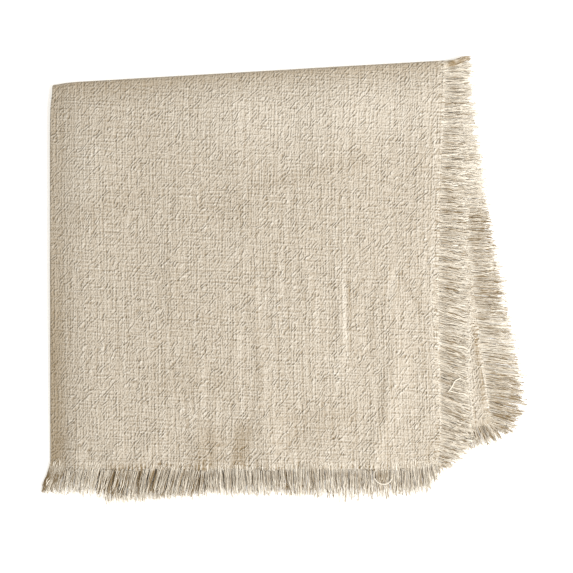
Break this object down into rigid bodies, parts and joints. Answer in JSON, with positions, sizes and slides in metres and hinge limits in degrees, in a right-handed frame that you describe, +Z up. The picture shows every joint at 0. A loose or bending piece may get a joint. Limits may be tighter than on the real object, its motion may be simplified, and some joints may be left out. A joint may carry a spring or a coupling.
{
  "type": "folded cloth napkin",
  "caption": "Natural linen table napkin with a frayed self-fringe on every side, folded into quarters and laid flat, its back layers fanned out past the front ones.",
  "frame": {"origin": "centre of the footprint, on the table that the napkin lies on", "axes": "+X across the folded napkin, from the left fold towards the fringed side; +Y from the fringed front hem towards the top fold; +Z up, out of the face that shows"},
  "size_m": [0.2612, 0.2426, 0.0071],
  "materials": {
    "linen_cloth": "matt plain weave, washed, undyed natural yarn",
    "linen_fringe": "matt loose yarn ends, undyed"
  },
  "bodies": {
    "root": {"cloth": "linen_cloth", "fringe_side_outer": "linen_fringe", "fringe_side_inner": "linen_fringe", "fringe_hem_front": "linen_fringe", "fringe_hem_back": "linen_fringe"}
  },
  "joints": []
}
